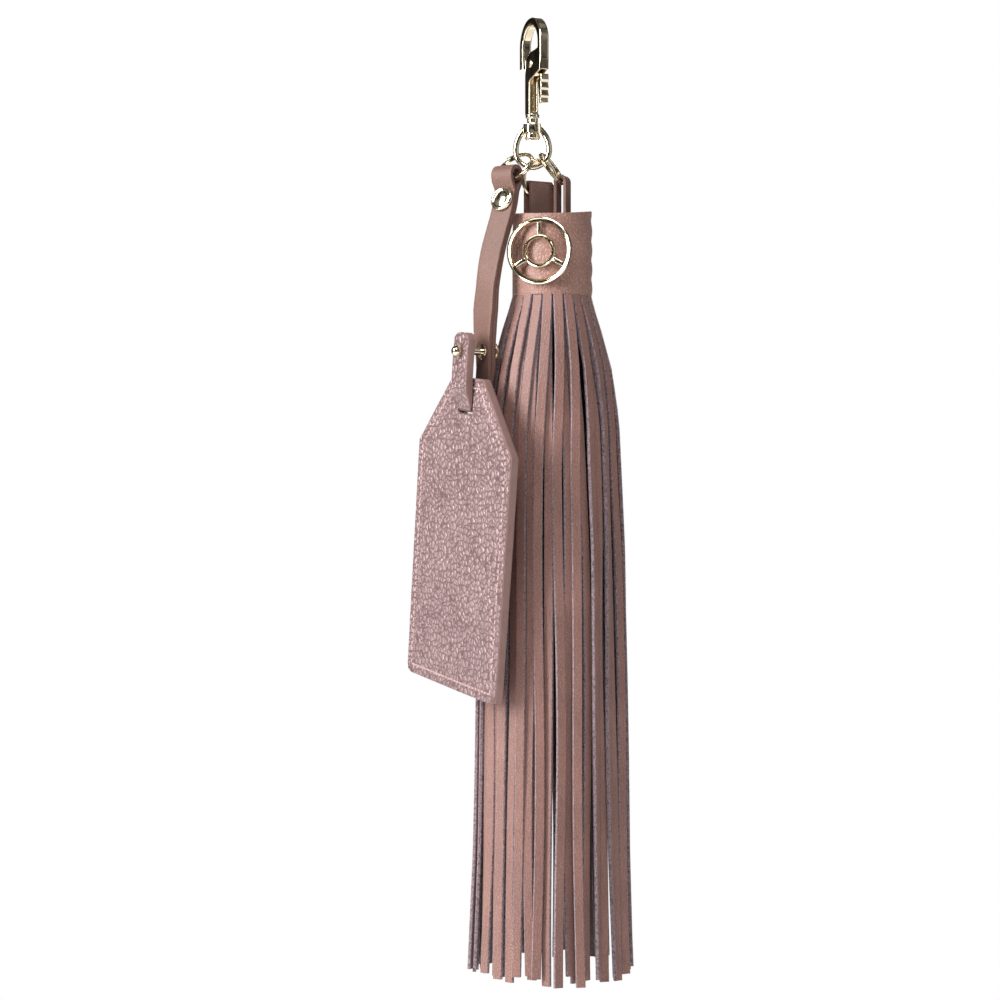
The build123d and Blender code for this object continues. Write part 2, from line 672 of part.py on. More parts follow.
for number in range(BUNDLES):
    bundle = fringe_bundle(number)
    bundle.label = f"fringe_bundle_{number + 1}"
    export_step(bundle, f"parts/fringe_bundle_{number + 1}.step")
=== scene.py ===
# %% [markdown]
# # A leather tassel charm with a luggage tag
# The charm hangs from a swivel trigger hook: a tall tassel under a rolled leather cap, and beside it a
# stitched luggage tag on a twisted strap. The solid model gives the place of every piece. Each cell below
# gives one of those pieces its real shape, and the last cells light it and look at it.

# %% Load the model
import random
from math import asin, cos, pi, radians, sin

import bpy
from mathutils import Matrix, Vector


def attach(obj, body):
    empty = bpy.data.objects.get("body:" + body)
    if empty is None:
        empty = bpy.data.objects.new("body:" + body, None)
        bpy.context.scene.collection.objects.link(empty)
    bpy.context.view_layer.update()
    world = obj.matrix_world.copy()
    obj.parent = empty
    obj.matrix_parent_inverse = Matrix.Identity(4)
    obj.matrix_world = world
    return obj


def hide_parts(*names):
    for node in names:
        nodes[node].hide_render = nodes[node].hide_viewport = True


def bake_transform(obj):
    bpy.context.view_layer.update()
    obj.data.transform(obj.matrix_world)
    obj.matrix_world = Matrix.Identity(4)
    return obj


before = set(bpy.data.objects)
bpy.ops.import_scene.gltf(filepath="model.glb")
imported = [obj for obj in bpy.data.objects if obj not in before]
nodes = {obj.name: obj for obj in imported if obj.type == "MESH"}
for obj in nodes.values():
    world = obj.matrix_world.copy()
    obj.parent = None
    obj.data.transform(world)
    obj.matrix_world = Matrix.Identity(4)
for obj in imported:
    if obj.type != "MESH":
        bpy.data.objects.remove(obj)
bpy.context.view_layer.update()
MM = 0.001
print("nodes in the model:", len(nodes))

# %% [markdown]
# ## Small helpers
# Modelling by hand in Blender is a rhythm of selecting, editing and applying modifiers. These few functions
# are that rhythm, so that each later cell only says what is special about its piece.

# %% Select, edit, apply
def pick(piece):
    """Make this piece the only selected and active object."""
    if bpy.context.object and bpy.context.object.mode != "OBJECT":
        bpy.ops.object.mode_set(mode="OBJECT")
    bpy.ops.object.select_all(action="DESELECT")
    piece.select_set(True)
    bpy.context.view_layer.objects.active = piece


def edit(piece, mode="FACE", action="SELECT"):
    """Open a piece in edit mode with all or none of it selected."""
    pick(piece)
    bpy.ops.object.mode_set(mode="EDIT")
    bpy.ops.mesh.select_mode(type=mode)
    bpy.ops.mesh.select_all(action=action)


def modify(piece, kind, **settings):
    """Add a modifier with its settings and apply it."""
    pick(piece)
    modifier = piece.modifiers.new(kind.title(), kind)
    for name, value in settings.items():
        setattr(modifier, name, value)
    bpy.ops.object.modifier_apply(modifier=modifier.name)


def settle(piece, matrix=None):
    """Put a piece in place, and move that place into its mesh."""
    pick(piece)
    if matrix is not None:
        piece.matrix_world = matrix @ piece.matrix_world
    bpy.ops.object.transform_apply(location=True, rotation=True, scale=True)


def smooth(piece, angle=35):
    """Shade a piece smooth, except over edges sharper than this angle."""
    pick(piece)
    bpy.ops.object.shade_smooth_by_angle(angle=radians(angle))


def join(pieces):
    """Join pieces into the first of them."""
    pick(pieces[0])
    for piece in pieces:
        piece.select_set(True)
    bpy.ops.object.join()


def named(name):
    """Name the object that an operator just made."""
    piece = bpy.context.object
    piece.name = name
    piece.data.name = name
    return piece


def triangles(piece):
    return sum(len(face.vertices) - 2 for face in piece.data.polygons)


def level_dir(turn):
    """A level direction, turned from +X towards -Y by an angle in degrees."""
    return Vector((cos(radians(turn)), -sin(radians(turn)), 0))


def placed(x_dir, z_dir, origin):
    """The matrix that stands a piece at a place given in millimetres, with these local X and Z."""
    x_dir, z_dir = Vector(x_dir).normalized(), Vector(z_dir).normalized()
    matrix = Matrix((x_dir, z_dir.cross(x_dir), z_dir)).transposed().to_4x4()
    matrix.translation = Vector(origin) * MM
    return matrix


print("helpers ready")

# %% [markdown]
# ## Colours and nodes
# Colours are written as the hex values that a painter's chart gives. Blender works in linear light, so one
# function turns them. One more adds a node, sets it and links it.

# %% Colour and node helpers
def linear(hex_colour):
    """An sRGB hex colour as linear light, with alpha 1."""
    values = [int(hex_colour[i : i + 2], 16) / 255 for i in (1, 3, 5)]
    return tuple(v / 12.92 if v <= 0.04045 else ((v + 0.055) / 1.055) ** 2.4 for v in values) + (1.0,)


def add(material, kind, values=None, links=None, **settings):
    """Add a node. settings are its own options, values its sockets' values, links its sockets' sources."""
    node = material.node_tree.nodes.new(kind)
    for name, value in settings.items():
        setattr(node, name, value)
    for socket, value in (values or {}).items():
        node.inputs[socket].default_value = value
    for socket, source in (links or {}).items():
        material.node_tree.links.new(source, node.inputs[socket])
    return node


def noise(material, place, grain, detail):
    """Noise with a grain of this many millimetres."""
    values = {"Scale": 1 / (grain * MM), "Detail": detail}
    return add(material, "ShaderNodeTexNoise", values, {"Vector": place}).outputs["Fac"]


def blended(material, first, second, factor):
    """The first hex colour where the factor is 0, and the second where it is 1."""
    colours = {6: linear(first), 7: linear(second)}
    return add(material, "ShaderNodeMix", colours, {0: factor}, data_type="RGBA").outputs[2]


def stretched(material, value, low, high, to_low=0.0, to_high=1.0, curve="LINEAR"):
    """A value carried from one range to another."""
    ranges = {"From Min": low, "From Max": high, "To Min": to_low, "To Max": to_high}
    node = add(material, "ShaderNodeMapRange", ranges, {"Value": value}, interpolation_type=curve)
    return node.outputs["Result"]


def relief(material, height, depth, strength=1.0):
    """The normal of a surface raised by a height, with a depth in millimetres."""
    values = {"Strength": strength, "Distance": depth * MM}
    return add(material, "ShaderNodeBump", values, {"Height": height}).outputs["Normal"]


def wire_up(material, shader, **sources):
    """Link sources to the shader's sockets. An underscore in a name stands for a space."""
    for socket, source in sources.items():
        material.node_tree.links.new(source, shader.inputs[socket.replace("_", " ")])


def new_material(name, roughness, metallic=0.0):
    """A material with its shader's plain values set, and the place on the object that its patterns use."""
    material = bpy.data.materials.new(name)
    material.use_nodes = True
    shader = material.node_tree.nodes["Principled BSDF"]
    shader.inputs["Roughness"].default_value = roughness
    shader.inputs["Metallic"].default_value = metallic
    return material, shader, add(material, "ShaderNodeTexCoord").outputs["Object"]


# %% [markdown]
# ## Pale gold plating
# The hardware is cast zinc with a bright, pale gold plate. Plating keeps the soft dents of the casting under
# it, so the reflections waver a little, and handling leaves faint smears that change the roughness.

# %% Material: pale gold plating
def pale_gold_plating():
    material, shader, place = new_material("pale gold plating", roughness=0.1, metallic=1.0)
    smears = noise(material, place, 4, 4.0)
    tint = blended(material, "#DFD0B2", "#EEE2CC", smears)
    polish = stretched(material, smears, 0.3, 0.7, 0.07, 0.17)
    dents = relief(material, noise(material, place, 2.2, 1.0), 0.05, strength=0.35)
    wire_up(material, shader, Base_Color=tint, Roughness=polish, Normal=dents)
    return material


gold = pale_gold_plating()
print("made", gold.name)

# %% [markdown]
# ## Leather
# The tassel and strap are drum-dyed leather with a natural small grain: low pebbles with fine valleys
# between them, with painted shade that darkens the valleys. The fringe's leather is softer, and the strap's
# smoother.
# The tag is the same hide with a coarser embossed pebble and a pearl finish. A Voronoi pattern gives the
# pebbles, bent by noise so that no two are alike.

# %% Material: grained leather
def grained_leather(name, face, valley, pebble, depth, roughness, pearl=0.0):
    """pebble is a grain's width and depth its height, in millimetres."""
    material, shader, place = new_material(name, roughness)
    scale = {"Scale": 1 / (2 * pebble * MM), "Detail": 3.0}
    bend = add(material, "ShaderNodeTexNoise", scale, {"Vector": place})
    shift = add(
        material,
        "ShaderNodeVectorMath",
        {1: (pebble * MM,) * 3, 2: (0, 0, 0)},
        {0: bend.outputs["Color"], 2: place},
        operation="MULTIPLY_ADD",
    )
    cells = add(
        material,
        "ShaderNodeTexVoronoi",
        {"Scale": 1 / (pebble * MM), "Randomness": 0.9},
        {"Vector": shift.outputs["Vector"]},
        feature="DISTANCE_TO_EDGE",
    ).outputs["Distance"]
    # a pebble rises over a wide dome, but painted shade darkens only a narrow valley
    dome = stretched(material, cells, 0.0, 0.42, curve="SMOOTHSTEP")
    out_of_valley = stretched(material, cells, 0.0, 0.2, curve="SMOOTHSTEP")
    pores = {0: noise(material, place, 0.5, 3.0), 2: dome}
    height = add(material, "ShaderNodeMath", {1: 0.25}, pores, operation="MULTIPLY_ADD")
    patches = stretched(material, noise(material, place, 14, 3.0), 0.3, 0.7, 0.88, 1.1)
    # painted shade in the valleys between pebbles, under random patches of tone
    patchy_tone_and_valley_shade = {"Value": patches, "Color": blended(material, valley, face, out_of_valley)}
    colour = add(material, "ShaderNodeHueSaturation", {"Saturation": 1.0}, patchy_tone_and_valley_shade)
    bumps = relief(material, height.outputs["Value"], depth)
    wire_up(material, shader, Base_Color=colour.outputs["Color"], Normal=bumps)
    shader.inputs["Sheen Weight"].default_value = 0.12
    shader.inputs["Sheen Roughness"].default_value = 0.4
    shader.inputs["Metallic"].default_value = pearl
    return material


tassel_leather = grained_leather(
    "drum-dyed leather, fine grain", "#AC8478", "#957064", pebble=1.1, depth=0.12, roughness=0.44
)
strap_leather = grained_leather(
    "drum-dyed leather, smooth grain", "#7A5A50", "#6E4F46", pebble=0.8, depth=0.03, roughness=0.58
)
fringe_leather = grained_leather(
    "drum-dyed leather, soft strips", "#977064", "#85605A", pebble=0.8, depth=0.08, roughness=0.46
)
tag_leather = grained_leather(
    "embossed pearl leather", "#A4898A", "#765C5A", pebble=1.8, depth=0.4, roughness=0.36, pearl=0.2
)
print("made", tassel_leather.name, "/", strap_leather.name, "/", fringe_leather.name, "/", tag_leather.name)

# %% [markdown]
# ## Cut edges and suede
# Where leather is cut, the pale grey-lilac core shows, with loose fibres that the edge paint doesn't reach.
# The flesh side is suede: no gloss at all, a short nap, and the same grey-lilac colour.

# %% Material: raw leather
def raw_leather(name, light, dark, fibre, softness):
    """fibre is the width of a tuft, in millimetres. A greater softness blends light and dark more."""
    material, shader, place = new_material(name, roughness=0.92)
    nap = noise(material, place, fibre, 5.0)
    spread = stretched(material, nap, 0.5 - softness, 0.5 + softness)
    fluff = relief(material, nap, 0.12, strength=0.7)
    wire_up(material, shader, Base_Color=blended(material, dark, light, spread), Normal=fluff)
    shader.inputs["Sheen Weight"].default_value = 0.3
    return material


cut_edge = raw_leather("raw cut leather edge", "#A79A9F", "#7C6A6C", fibre=0.6, softness=0.2)
suede = raw_leather("leather flesh side", "#857376", "#5F5052", fibre=0.9, softness=0.25)
# the soft strips' cut edge keeps its pale lilac, but its dark end is painted shade of the gaps between
# strips
strip_edge_with_painted_shade = raw_leather("cut edge of soft strips, with painted shade", "#A8929A", "#4E3D3E", fibre=0.6, softness=0.2)
# painted shade: the soft strips' flesh side is darkened far below the suede's own grey-lilac, for the
# shadowed gaps between strips
strip_suede_in_painted_shade = raw_leather("painted shade on flesh side of soft strips", "#4E3F3F", "#322626", fibre=0.9, softness=0.25)
print("made", cut_edge.name, "/", suede.name, "/", strip_edge_with_painted_shade.name, "/", strip_suede_in_painted_shade.name)

# %% [markdown]
# ## Painted edges
# The strap's and the tag's edges are sanded and sealed with edge paint, a thick acrylic that dries smooth
# and a little glossy. It sinks between the layers, so it still waves slightly.

# %% Material: edge paint
def edge_paint():
    material, shader, place = new_material("acrylic edge paint", roughness=0.42)
    waves = noise(material, place, 2.5, 3.0)
    ripple = relief(material, waves, 0.08, strength=0.5)
    wire_up(material, shader, Base_Color=blended(material, "#866862", "#A07E78", waves), Normal=ripple)
    return material


painted_edge = edge_paint()
print("made", painted_edge.name)

# %% [markdown]
# ## Thread, board and spring wire
# Three small finishes: a waxed polyester thread with its twist, a grey-brown stiffening board with short
# paper fibres, and drawn steel wire.

# %% Material: thread, board, wire
def waxed_thread():
    material, shader, place = new_material("waxed polyester thread", roughness=0.45)
    scale = {"Scale": 1 / (1.6 * MM), "Distortion": 1.0}
    twist = add(material, "ShaderNodeTexWave", scale, {"Vector": place}).outputs["Fac"]
    wire_up(material, shader, Base_Color=blended(material, "#A88A88", "#CDB2AE", twist))
    return material


def mottled(name, first, second, grain, detail, roughness, metallic=0.0):
    """A plain material whose colour drifts between two, with a grain in millimetres."""
    material, shader, place = new_material(name, roughness, metallic)
    drift = noise(material, place, grain, detail)
    wire_up(material, shader, Base_Color=blended(material, first, second, drift))
    return material


thread = waxed_thread()
board = mottled("pressed paper board", "#4A3C38", "#6E5C54", 0.8, 6.0, roughness=0.9)
steel = mottled("drawn steel wire", "#8A8A8C", "#B9B9BB", 0.4, 3.0, roughness=0.3, metallic=1.0)
print("made", thread.name, "/", board.name, "/", steel.name)

# %% [markdown]
# ## Finishing a piece
# Every piece ends in the same way: it gets its materials, is shaded, moves with one body of the model, and
# stands in for the plain solids that it replaces.

# %% Finish
def finish(piece, body, slot, replaced, *materials, angle=35):
    """Give a piece its materials, shade it, and tie it to the model."""
    piece.data.materials.clear()
    for material in materials:
        piece.data.materials.append(material)
    smooth(piece, angle)
    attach(piece, body)
    if replaced:
        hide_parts(*replaced)
    print(piece.name, triangles(piece), "triangles")


# %% [markdown]
# ## Cast hardware
# The hook, its lever and the swivel's boss are castings, and no cast or tumbled edge is sharp. The solid
# model has their exact shape but knife edges. A copy is merged, its flat faces are made whole, and a bevel
# rounds every sharp edge, so that each one catches a line of light.

# %% Hook, lever and rivets
def whole_copy(node, name):
    """A copy of a CAD node, merged and with its flat faces made whole. It is left in edit mode."""
    piece = bpy.data.objects.new(name, nodes[node].data.copy())
    bpy.context.scene.collection.objects.link(piece)
    edit(piece, "VERT")
    bpy.ops.mesh.remove_doubles(threshold=0.002 * MM)
    bpy.ops.mesh.dissolve_limited(angle_limit=radians(1.5))
    return piece


def rounded(piece, radius, segments, sharp, **only):
    """Round a piece's edges that are sharper than an angle, by a radius in millimetres."""
    edges = {"limit_method": "ANGLE", "angle_limit": radians(sharp), **only}
    modify(piece, "BEVEL", width=radius * MM, segments=segments, **edges)


def softened_copy(node, name, radius):
    """A copy of a CAD node with its edges rounded by a radius in millimetres."""
    piece = whole_copy(node, name)
    bpy.ops.object.mode_set(mode="OBJECT")
    rounded(piece, radius, segments=3, sharp=40)
    return piece


for node, body, radius in (
    ("hook_body", "hook", 0.6),
    ("thumb_lever", "lever", 0.35),
    ("swivel_rivet", "hook", 0.2),
    ("lever_pin", "hook", 0.12),
    ("rivet_back_cap", "strap", 0.12),
    ("stud_screw", "strap", 0.2),
):
    casting = softened_copy(node, "cast_" + node, radius)
    if node in ("hook_body", "thumb_lever"):
        # an even mesh, relaxed, gives these two the flowing surface of a tumbled casting
        modify(casting, "REMESH", mode="VOXEL", voxel_size=0.13 * MM)
        modify(casting, "SMOOTH", factor=0.5, iterations=14)
    finish(casting, body, "pale_gold", [node], gold)

# %% [markdown]
# ## The lever's spring
# A torsion spring of fine wire sits beside the lever's web. A Screw modifier sweeps the wire's round section
# along its turns.

# %% Spring
UP = Vector((0, 0, 1))
HOOK_TURN = 68
HUB = level_dir(HOOK_TURN) * 1.6 + UP * -11.3
hook_out = level_dir(HOOK_TURN).cross(UP)


def coil(name, radius, wire, turns, pitch, steps=64, flat=1.0):
    """A coil about Z of wire with this half thickness. flat squeezes the wire along the axis."""
    bpy.ops.object.select_all(action="DESELECT")
    bpy.ops.mesh.primitive_circle_add(
        vertices=12,
        radius=wire * MM,
        fill_type="NGON",
        location=(radius * MM, 0, 0),
        rotation=(pi / 2, 0, 0),
    )
    piece = named(name)
    piece.scale = (1, flat, 1)
    settle(piece)
    edit(piece)
    bpy.ops.mesh.delete(type="ONLY_FACE")
    bpy.ops.object.mode_set(mode="OBJECT")
    modify(
        piece,
        "SCREW",
        angle=2 * pi * turns,
        steps=int(steps * turns),
        render_steps=int(steps * turns),
        screw_offset=pitch * turns * MM,
        use_normal_calculate=True,
    )
    edit(piece)
    bpy.ops.mesh.fill_holes(sides=0)
    bpy.ops.mesh.normals_make_consistent(inside=False)
    bpy.ops.transform.translate(value=(0, 0, -pitch * turns * MM / 2))
    bpy.ops.object.mode_set(mode="OBJECT")
    return piece


spring = coil("lever_torsion_spring", radius=1.45, wire=0.12, turns=2.5, pitch=0.25, steps=32)
settle(spring, placed(level_dir(HOOK_TURN), hook_out, HUB + hook_out * 0.66))
finish(spring, "hook", "spring_steel", ["lever_spring"], steel)

# %% [markdown]
# ## The swivel's eye
# The eye is round wire bent into a drop and cast in one with a small faceted boss. The wire follows the
# solid model's outline: half a circle below, and two longer arcs that lean in to the boss.

# %% Eye and boss
EYE_TURN = 11
EYE_RADIUS = 5.1
EYE_Z = -37.0
BOSS_MIDDLE = -30.525
BOSS_REACH = 2.2
EYE_WIRE = 0.85
eye_dir = level_dir(EYE_TURN)
lean_in = EYE_RADIUS - BOSS_REACH
lean_radius = (lean_in**2 + (BOSS_MIDDLE - EYE_Z) ** 2) / (2 * lean_in)
lean_end = asin((BOSS_MIDDLE - EYE_Z) / lean_radius)


def wire(name, points, radius):
    """Round wire along points given in millimetres, as a mesh with closed ends."""
    curve = bpy.data.curves.new(name, "CURVE")
    curve.dimensions = "3D"
    curve.bevel_depth = radius * MM
    curve.bevel_resolution = 6
    curve.use_fill_caps = True
    spline = curve.splines.new("POLY")
    spline.points.add(len(points) - 1)
    for point, place in zip(spline.points, points):
        point.co = (*(Vector(place) * MM), 1)
    piece = bpy.data.objects.new(name, curve)
    bpy.context.scene.collection.objects.link(piece)
    pick(piece)
    bpy.ops.object.convert(target="MESH")
    return bpy.context.object


outline = []
for step in range(12):
    angle = lean_end * (1 - step / 12)
    across = EYE_RADIUS - lean_radius + lean_radius * cos(angle)
    outline.append((across, EYE_Z + lean_radius * sin(angle)))
for step in range(33):
    angle = -pi * step / 32
    outline.append((EYE_RADIUS * cos(angle), EYE_Z + EYE_RADIUS * sin(angle)))
outline += [(-across, up) for across, up in reversed(outline[:12])]
places = [eye_dir * across + UP * up for across, up in outline]
eye = wire("swivel_eye_and_boss", places, EYE_WIRE)

bpy.ops.object.select_all(action="DESELECT")
bpy.ops.mesh.primitive_cylinder_add(vertices=8, radius=1, depth=1)
boss = named("boss")
boss.scale = (3.05 * MM, 2.6 * MM, 2.95 * MM)
settle(boss)
edit(boss, "EDGE")
bpy.ops.mesh.bevel(offset=0.35 * MM, segments=2)
bpy.ops.object.mode_set(mode="OBJECT")
settle(boss, placed(level_dir(EYE_TURN + 22.5), UP, (0, 0, BOSS_MIDDLE)))
join([eye, boss])
finish(eye, "swivel", "pale_gold", ["swivel_eye"], gold)

# %% [markdown]
# ## Split rings
# Each ring is flat wire wound twice, so that a loop can be worked in between the turns. The two turns and
# their cut ends show as a fine line round the ring. Again a Screw modifier winds a flattened section.

# %% Three split rings
RINGS = {
    "tag_ring": ((-5.16, -1.38, -42.14), (-0.417, -0.579, 0.701), -60),
    "tassel_ring": ((2.18, 0.40, -45.60), (-0.483, 0.875, 0.0), 150),
    "back_ring": ((6.02, 1.26, -42.39), (-0.778, 0.293, -0.555), 20),
}
for node, (centre, axis, ends_at) in RINGS.items():
    body = "tag_ring" if node == "tag_ring" else "tassel_rings"
    ring = coil("split_" + node, radius=5.6, wire=0.56, turns=2.06, pitch=0.52, steps=72, flat=0.47)
    sideways = Vector(axis).cross((0, 0, 1)).normalized()
    turn = Matrix.Rotation(radians(ends_at), 4, "Z")
    settle(ring, placed(sideways, axis, centre) @ turn)
    finish(ring, body, "pale_gold", [node], gold, angle=50)

# %% [markdown]
# ## The ball stud and the rivet's cap
# Both are turned parts, round about one axis. Half of the outline is drawn by extruding a single vertex
# from point to point, and Spin carries it round.

# %% Turned pieces
def turned(name, profile, steps=64):
    """Spin half an outline, given as radius and height in millimetres, about Z."""
    bpy.ops.object.select_all(action="DESELECT")
    bpy.ops.mesh.primitive_plane_add(size=MM)
    piece = named(name)
    edit(piece, "VERT")
    bpy.ops.mesh.merge(type="CENTER")
    here = Vector((profile[0][0], 0, profile[0][1])) * MM
    bpy.ops.transform.translate(value=here)
    for radius, height in profile[1:]:
        there = Vector((radius, 0, height)) * MM
        bpy.ops.mesh.extrude_vertices_move(TRANSFORM_OT_translate={"value": there - here})
        here = there
    bpy.ops.mesh.select_all(action="SELECT")
    bpy.ops.mesh.spin(steps=steps, angle=2 * pi, center=(0, 0, 0), axis=(0, 0, 1))
    bpy.ops.mesh.select_all(action="SELECT")
    bpy.ops.mesh.remove_doubles(threshold=0.004 * MM)
    bpy.ops.mesh.normals_make_consistent(inside=False)
    bpy.ops.object.mode_set(mode="OBJECT")
    return piece


TAG_TURN = 60
TAG_LEAN = 7
TAG_PEAK = Vector((-18.1, -8.9, -105.7))
tag_normal = level_dir(TAG_TURN).cross(UP)
tag_across = level_dir(TAG_TURN) * cos(radians(TAG_LEAN)) - UP * sin(radians(TAG_LEAN))
tag_up = tag_normal.cross(tag_across)
STRAP_OUT = -4.6
STRAP_THICK = 2.7
LEATHER = 1.25


def at_tag(across, up, out):
    """A point in the tag's plane: across, up from its peak, and out of its face."""
    return TAG_PEAK + tag_across * across + tag_up * up + tag_normal * out


BALL = 1.6
stud_face = STRAP_THICK / 2 + 0.05
ball_middle = 8.2 + LEATHER / 2 + BALL
profile = [(0.001, 0), (1.1, 0), (1.1, stud_face), (2.2, stud_face), (2.3, stud_face + 0.15)]
profile += [(2.3, stud_face + 0.6), (2.1, stud_face + 0.8), (1.1, stud_face + 0.85)]
for step in range(17):
    angle = radians(-48 + 138 * step / 16)
    profile.append((max(BALL * cos(angle), 0.001), ball_middle + BALL * sin(angle)))
stud = turned("turned_ball_stud", profile, steps=40)
settle(stud, placed(tag_across, tag_normal, at_tag(0.3, 7.9, STRAP_OUT)))
finish(stud, "strap", "pale_gold", ["ball_stud"], gold)

# %% [markdown]
# The rivet's cap is a shallow pressed dome: a rolled rim, a groove inside it and a low crown.

# %% Rivet cap
STRAP_TOP = Vector((-7.6, -3.8, -45.2))
LOOP_END = -49.5
STRAP_WAY = (
    (-8.7, -5.4, -56.0, 35.0),
    (-11.9, -4.9, -68.0, 36.0),
    (-13.6, -5.6, -80.0, 45.0),
    (-14.2, -6.5, -92.0, 56.0),
)
stretch_top = Vector((STRAP_TOP.x, STRAP_TOP.y, LOOP_END))
stretch_end = Vector(STRAP_WAY[0][:3])
rivet_at = (stretch_top + stretch_end) / 2
rivet_x = level_dir(35.5)
rivet_out = rivet_x.cross((stretch_top - stretch_end).normalized())

rim = ((3.5, 0), (3.72, 0.2), (3.75, 0.5), (3.66, 0.85), (3.45, 1.08), (3.15, 1.18))
groove = ((2.9, 1.12), (2.7, 0.9), (2.5, 0.84), (2.3, 0.92))
crown = ((1.9, 1.08), (1.3, 1.2), (0.7, 1.27), (0.001, 1.3))
profile = [(0.001, -1.4), (1.1, -1.4), (1.1, stud_face)]
profile += [(radius, stud_face + height) for radius, height in rim + groove + crown]
rivet = turned("domed_rivet_cap", profile, steps=56)
settle(rivet, placed(rivet_x, rivet_out, rivet_at))
finish(rivet, "strap", "pale_gold", ["rivet_cap"], gold, angle=60)

# %% [markdown]
# ## The round ornament
# A ring with a rolled lip, a smaller ring inside it and three short bars between them, pinned through the
# cap by two prongs. Rings are turned, and the bars are bevelled blocks copied round the middle.

# %% Ornament
ORNAMENT_TURN = -18
ornament_out = Vector((sin(radians(ORNAMENT_TURN)), -cos(radians(ORNAMENT_TURN)), 0))
TASSEL_AXIS = Vector((5.85, 1.5, 0))
CAP_OUTSIDE = 12.0
ornament_at = TASSEL_AXIS + ornament_out * CAP_OUTSIDE + UP * -68.2


def band(name, inner, outer, thick):
    """A ring of flat band with a rolled lip on its outside and a groove inside the lip."""
    width = outer - inner
    points = [(inner, 0.02), (outer - 0.15, 0.02), (outer, 0.3)]
    points += [(outer, thick - 0.35), (outer - 0.12, thick - 0.1)]
    points += [(outer - width * 0.22, thick), (outer - width * 0.4, thick - 0.1)]
    points += [(outer - width * 0.5, thick - 0.4), (outer - width * 0.62, thick - 0.4)]
    points += [(outer - width * 0.72, thick - 0.12), (inner + 0.15, thick - 0.15)]
    points += [(inner, thick - 0.4), (inner, 0.02)]
    return turned(name, points, steps=96)


def block(name, size, middle, rounding, segments):
    """A block with rounded edges, all measured in millimetres."""
    bpy.ops.object.select_all(action="DESELECT")
    bpy.ops.mesh.primitive_cube_add(size=1, location=[value * MM for value in middle])
    piece = named(name)
    piece.scale = [value * MM for value in size]
    settle(piece)
    edit(piece, "EDGE")
    bpy.ops.mesh.bevel(offset=rounding * MM, segments=segments)
    bpy.ops.object.mode_set(mode="OBJECT")
    return piece


ornament = band("round_ornament", 8.4, 10.0, 1.6)
parts = [band("inner", 3.7, 5.0, 1.5)]
for number in range(3):
    bar = block(f"bar_{number}", (3.8, 1.3, 1.2), (6.7, 0, 0.75), rounding=0.25, segments=3)
    settle(bar, Matrix.Rotation(radians(90 + 120 * number), 4, "Z"))
    parts.append(bar)
for side in (-1, 1):
    prong = block(f"prong_{side}", (0.8, 1.0, 3.2), (side * 3.95, 0, -1.3), rounding=0.1, segments=1)
    parts.append(prong)
join([ornament, *parts])
settle(ornament, placed(UP.cross(ornament_out), ornament_out, ornament_at))
finish(ornament, "tassel", "pale_gold", ["ornament"], gold, angle=40)

plate = softened_copy("ornament_plate", "prong_plate", 0.1)
finish(plate, "tassel", "pale_gold", ["ornament_plate"], gold)

# %% [markdown]
# ## Ribbons of leather
# The strap and the tassel's loops are flat strips that bend and twist. Each starts as a flat grid, one row
# of points across for each place along its way. The rows are then set along the way one by one, which no
# bend operator does as exactly, and Solidify gives the leather its thickness, with its own materials for
# the grain side, the flesh side and the cut edge.

# %% Ribbon helper
def ribbon(name, way, widths, thickness, columns):
    """way lists places along the strip's middle, each with the direction across it there and a width."""
    bpy.ops.object.select_all(action="DESELECT")
    rows = len(way) - 1
    bpy.ops.mesh.primitive_grid_add(x_subdivisions=columns, y_subdivisions=rows, size=1)
    piece = named(name)
    for vertex in piece.data.vertices:
        row = min(rows, max(0, round((vertex.co.y + 0.5) * rows)))
        place, side = way[row]
        across = vertex.co.x * widths[row]
        vertex.co = (place + side * across) * MM
    modify(
        piece,
        "SOLIDIFY",
        thickness=thickness * MM,
        offset=0.0,
        use_even_offset=True,
        material_offset=2,
        material_offset_rim=1,
    )
    rounded(piece, 0.18, segments=2, sharp=50, material=1)
    return piece


def curve_through(points, steps):
    """Points on a smooth Catmull-Rom curve through these ones, each a list of numbers."""
    first = [2 * a - b for a, b in zip(points[0], points[1])]
    last = [2 * a - b for a, b in zip(points[-1], points[-2])]
    control = [first, *points, last]
    result = []
    for number in range(len(points) - 1):
        for step in range(steps):
            t = step / steps
            values = []
            for a, b, c, d in zip(*control[number : number + 4]):
                square = (2 * a - 5 * b + 4 * c - d) * t**2
                cube = (3 * b - a - 3 * c + d) * t**3
                values.append(0.5 * (2 * b + (c - a) * t + square + cube))
            result.append(values)
    result.append(list(points[-1]))
    return result


print("ribbon ready")

# %% [markdown]
# ## The tag's strap
# One strip of leather makes the whole strap. It starts behind the tag, runs up as the front layer, loops
# over the ring, comes down as the back layer, passes through the tag's slot and stands up in front as a tab.
# On its way down the doubled strap twists from the ring's face to the tag's, and it is a little wider below
# the ornament. A second layer, of the tag's leather, is glued to the front of the tab.

# %% Strap
STRAP_WIDTH, STRAP_SPREAD, TAB_WIDTH = 7.4, 1.3, 8.8
SPREAD_FROM, SPREAD_TO = -79.0, -100.0
TAB_ROUNDING = 1.9
LOOP_PINCH = 0.86
spine = [[*stretch_top, 36.0, 0.0], *[[*way, 0.0] for way in STRAP_WAY]]
spine[-1][4] = TAG_LEAN * 0.7
spine.append([*at_tag(0, 3, STRAP_OUT), TAG_TURN, TAG_LEAN])
middle = []
for x, y, z, turn, lean in curve_through(spine, 7):
    side = (level_dir(turn) * cos(radians(lean)) - UP * sin(radians(lean))).normalized()
    middle.append((Vector((x, y, z)), side))
outs = []
for row, (place, side) in enumerate(middle):
    above = middle[max(0, row - 1)][0]
    below = middle[min(len(middle) - 1, row + 1)][0]
    outs.append(side.cross(above - below).normalized())

